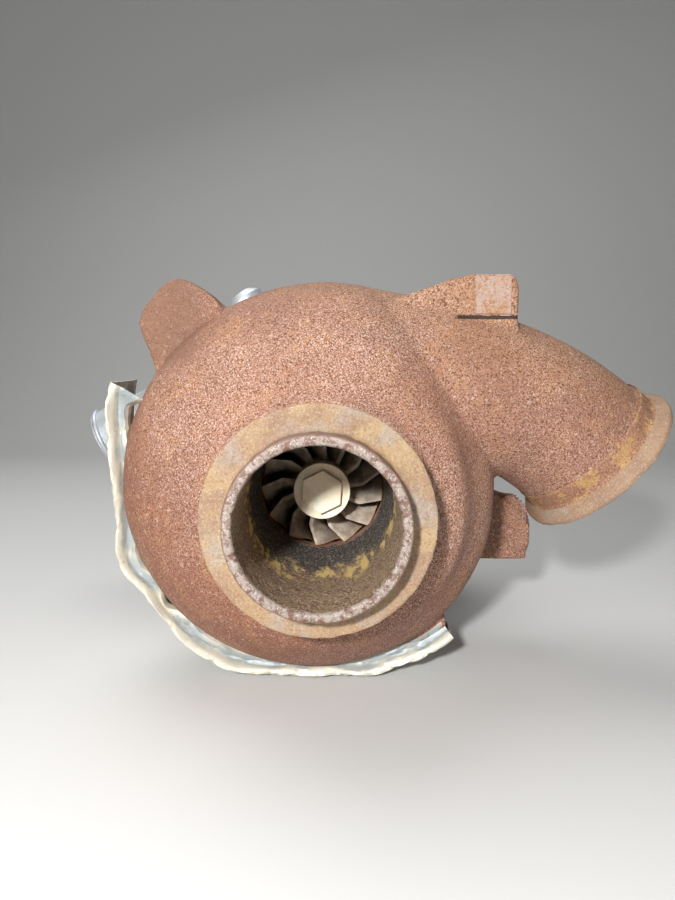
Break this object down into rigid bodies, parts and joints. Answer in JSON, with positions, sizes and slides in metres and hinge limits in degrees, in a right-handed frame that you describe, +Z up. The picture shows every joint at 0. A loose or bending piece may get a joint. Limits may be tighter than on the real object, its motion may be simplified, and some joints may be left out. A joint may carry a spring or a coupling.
{
  "type": "turbocharger",
  "caption": "Exhaust-driven turbocharger with a snail-shaped rusted turbine casing, variable vanes, an oil-fed bearing core and an aluminium compressor casing.",
  "frame": {"origin": "centre of the exhaust outlet flange's front plane, on the shaft's axis", "axes": "+Y along the shaft from the exhaust outlet to the air inlet, +X to the right when looking into the exhaust outlet (the exhaust inlet's side), +Z up as the part lies on its heat shield"},
  "size_m": [0.3448, 0.263, 0.2092],
  "materials": {
    "rusted_casting": "rough rusted sand casting",
    "rusted_fastener": "rusted steel",
    "heat_alloy": "heat-browned nickel alloy casting",
    "heat_steel": "heat-browned steel",
    "seal_steel": "ground steel",
    "machined_steel": "ground steel",
    "spring_steel": "phosphated spring steel",
    "fitting_steel": "zinc plated steel",
    "plated_fastener": "zinc plated steel",
    "clamp_steel": "plated steel, dulled",
    "zinc_plate": "zinc plated can, dulled",
    "grey_casting": "oil stained grey iron casting",
    "bronze": "machined bronze",
    "o_ring_rubber": "smooth rubber",
    "plate_aluminium": "machined aluminium",
    "wheel_aluminium": "machined aluminium",
    "cast_aluminium": "sand cast aluminium, dulled",
    "shield_sheet": "aluminised steel sheet, creased and heat stained"
  },
  "bodies": {
    "casing": {"turbine_housing": "rusted_casting", "turbine_housing_bolts": "rusted_fastener", "turbine_seal_ring": "seal_steel", "heat_shroud": "heat_steel", "nozzle_ring": "heat_steel", "actuator_caps": "machined_steel", "control_valve": "zinc_plate", "bearing_housing": "grey_casting", "bearing_snap_rings": "spring_steel", "thrust_bearing": "bronze", "compressor_seal_ring": "seal_steel", "oil_inlet_fitting": "fitting_steel", "seal_plate": "plate_aluminium", "seal_plate_o_ring": "o_ring_rubber", "seal_plate_bolts": "plated_fastener", "compressor_housing": "cast_aluminium", "compressor_clamp_plates": "clamp_steel", "compressor_clamp_bolts": "plated_fastener", "heat_shield": "shield_sheet", "heat_shield_screws": "rusted_fastener"},
    "rotor": {"turbine_wheel_and_shaft": "heat_alloy", "thrust_washer": "machined_steel", "thrust_collar": "machined_steel", "oil_flinger": "machined_steel", "compressor_wheel": "wheel_aluminium", "shaft_nut": "machined_steel"},
    "turbine_bearing": {"journal_bearing_turbine": "bronze"},
    "compressor_bearing": {"journal_bearing_compressor": "bronze"},
    "unison": {"unison_ring": "heat_steel"},
    "vane_01": {"nozzle_vane_01": "heat_steel"},
    "vane_02": {"nozzle_vane_02": "heat_steel"},
    "vane_03": {"nozzle_vane_03": "heat_steel"},
    "vane_04": {"nozzle_vane_04": "heat_steel"},
    "vane_05": {"nozzle_vane_05": "heat_steel"},
    "vane_06": {"nozzle_vane_06": "heat_steel"},
    "vane_07": {"nozzle_vane_07": "heat_steel"},
    "vane_08": {"nozzle_vane_08": "heat_steel"},
    "vane_09": {"nozzle_vane_09": "heat_steel"},
    "vane_10": {"nozzle_vane_10": "heat_steel"},
    "crank": {"vane_crank": "heat_steel"},
    "piston": {"actuator_piston": "machined_steel"}
  },
  "joints": [
    {"name": "rotor_spin", "type": "hinge", "parent": "casing", "child": "rotor", "pos_m": [0, 0.15, 0], "axis": [0, 1, 0], "continuous": true},
    {"name": "turbine_bearing_float", "type": "hinge", "parent": "casing", "child": "turbine_bearing", "pos_m": [0, 0.141, 0], "axis": [0, 1, 0], "continuous": true},
    {"name": "compressor_bearing_float", "type": "hinge", "parent": "casing", "child": "compressor_bearing", "pos_m": [0, 0.169, 0], "axis": [0, 1, 0], "continuous": true},
    {"name": "unison_turn", "type": "hinge", "parent": "casing", "child": "unison", "pos_m": [0, 0.1188, 0], "axis": [0, 1, 0], "range_deg": [-3, 3]},
    {"name": "vane_01_pivot", "type": "hinge", "parent": "casing", "child": "vane_01", "pos_m": [0.052, 0.1145, 0], "axis": [0, 1, 0], "range_deg": [-18.7, 18.7]},
    {"name": "vane_02_pivot", "type": "hinge", "parent": "casing", "child": "vane_02", "pos_m": [0.04207, 0.1145, 0.03056], "axis": [0, 1, 0], "range_deg": [-18.7, 18.7]},
    {"name": "vane_03_pivot", "type": "hinge", "parent": "casing", "child": "vane_03", "pos_m": [0.01607, 0.1145, 0.04945], "axis": [0, 1, 0], "range_deg": [-18.7, 18.7]},
    {"name": "vane_04_pivot", "type": "hinge", "parent": "casing", "child": "vane_04", "pos_m": [-0.01607, 0.1145, 0.04945], "axis": [0, 1, 0], "range_deg": [-18.7, 18.7]},
    {"name": "vane_05_pivot", "type": "hinge", "parent": "casing", "child": "vane_05", "pos_m": [-0.04207, 0.1145, 0.03056], "axis": [0, 1, 0], "range_deg": [-18.7, 18.7]},
    {"name": "vane_06_pivot", "type": "hinge", "parent": "casing", "child": "vane_06", "pos_m": [-0.052, 0.1145, 0], "axis": [0, 1, 0], "range_deg": [-18.7, 18.7]},
    {"name": "vane_07_pivot", "type": "hinge", "parent": "casing", "child": "vane_07", "pos_m": [-0.04207, 0.1145, -0.03056], "axis": [0, 1, 0], "range_deg": [-18.7, 18.7]},
    {"name": "vane_08_pivot", "type": "hinge", "parent": "casing", "child": "vane_08", "pos_m": [-0.01607, 0.1145, -0.04945], "axis": [0, 1, 0], "range_deg": [-18.7, 18.7]},
    {"name": "vane_09_pivot", "type": "hinge", "parent": "casing", "child": "vane_09", "pos_m": [0.01607, 0.1145, -0.04945], "axis": [0, 1, 0], "range_deg": [-18.7, 18.7]},
    {"name": "vane_10_pivot", "type": "hinge", "parent": "casing", "child": "vane_10", "pos_m": [0.04207, 0.1145, -0.03056], "axis": [0, 1, 0], "range_deg": [-18.7, 18.7]},
    {"name": "crank_turn", "type": "hinge", "parent": "casing", "child": "crank", "pos_m": [-0.04191, 0.129, 0.05768], "axis": [0, 1, 0], "range_deg": [-20.4, 20.4]},
    {"name": "piston_travel", "type": "slide", "parent": "casing", "child": "piston", "axis": [0.809, 0, 0.5878], "range_m": [-0.0043, 0.0043]}
  ],
  "couplings": [
    {"joint": "vane_01_pivot", "follows": "unison_turn", "ratio": 6.2},
    {"joint": "vane_02_pivot", "follows": "unison_turn", "ratio": 6.2},
    {"joint": "vane_03_pivot", "follows": "unison_turn", "ratio": 6.2},
    {"joint": "vane_04_pivot", "follows": "unison_turn", "ratio": 6.2},
    {"joint": "vane_05_pivot", "follows": "unison_turn", "ratio": 6.2},
    {"joint": "vane_06_pivot", "follows": "unison_turn", "ratio": 6.2},
    {"joint": "vane_07_pivot", "follows": "unison_turn", "ratio": 6.2},
    {"joint": "vane_08_pivot", "follows": "unison_turn", "ratio": 6.2},
    {"joint": "vane_09_pivot", "follows": "unison_turn", "ratio": 6.2},
    {"joint": "vane_10_pivot", "follows": "unison_turn", "ratio": 6.2},
    {"joint": "crank_turn", "follows": "unison_turn", "ratio": -6.8},
    {"joint": "piston_travel", "follows": "unison_turn", "m_per_rad": 0.08}
  ]
}
